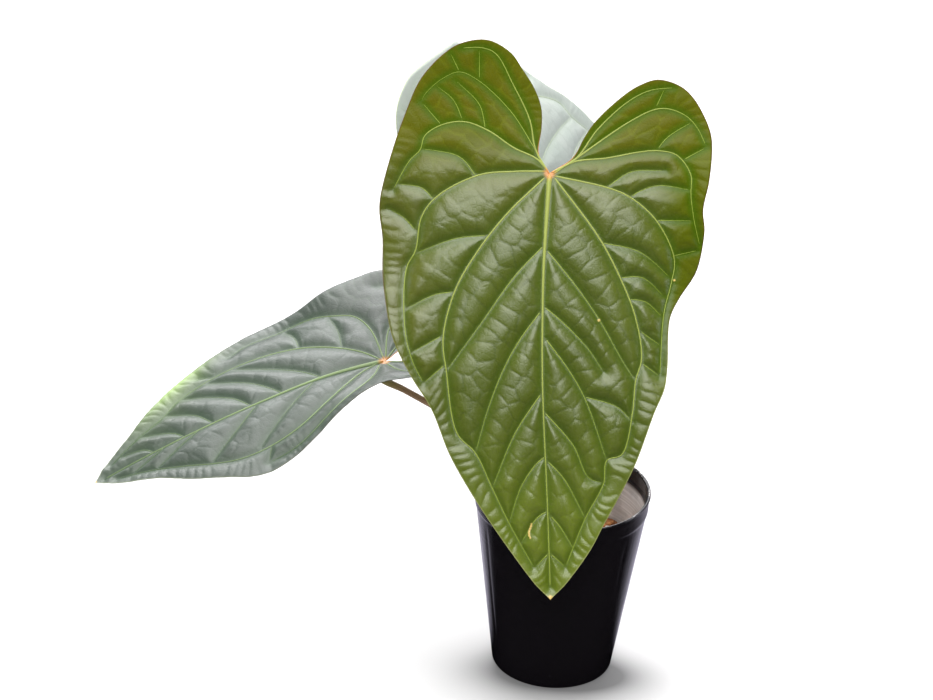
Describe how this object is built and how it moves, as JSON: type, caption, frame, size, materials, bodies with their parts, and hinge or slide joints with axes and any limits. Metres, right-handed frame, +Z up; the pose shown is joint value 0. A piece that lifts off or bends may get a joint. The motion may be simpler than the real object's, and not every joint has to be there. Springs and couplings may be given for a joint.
{
  "type": "potted anthurium hybrid",
  "caption": "House plant with heart-shaped, quilted, pale-veined leaves on slim petioles, growing from a short stem in coarse bark in a tapered black nursery pot",
  "frame": {"origin": "the middle of the pot's foot, on the surface the pot stands on", "axes": "+Z up, +X right and +Y away as the large front leaf is faced, so that leaf hangs toward -Y"},
  "size_m": [0.4004, 0.4098, 0.4334],
  "materials": {
    "pot_plastic": "glossy moulded black",
    "bark": "rough broken bark",
    "stem_tissue": "dull fibrous green and brown",
    "petiole_tissue": "smooth satin olive and mauve brown",
    "leaf_olive": "quilted velvety satin",
    "leaf_grey_green": "quilted velvety satin with a silvery sheen",
    "leaf_pale": "quilted velvety satin, pale silvery green"
  },
  "bodies": {
    "root": {"pot": "pot_plastic", "growing_medium": "bark", "stem_and_roots": "stem_tissue", "petiole_front": "petiole_tissue", "petiole_left": "petiole_tissue", "petiole_back": "petiole_tissue", "leaf_front": "leaf_olive", "leaf_left": "leaf_grey_green", "leaf_back": "leaf_pale"}
  },
  "joints": []
}
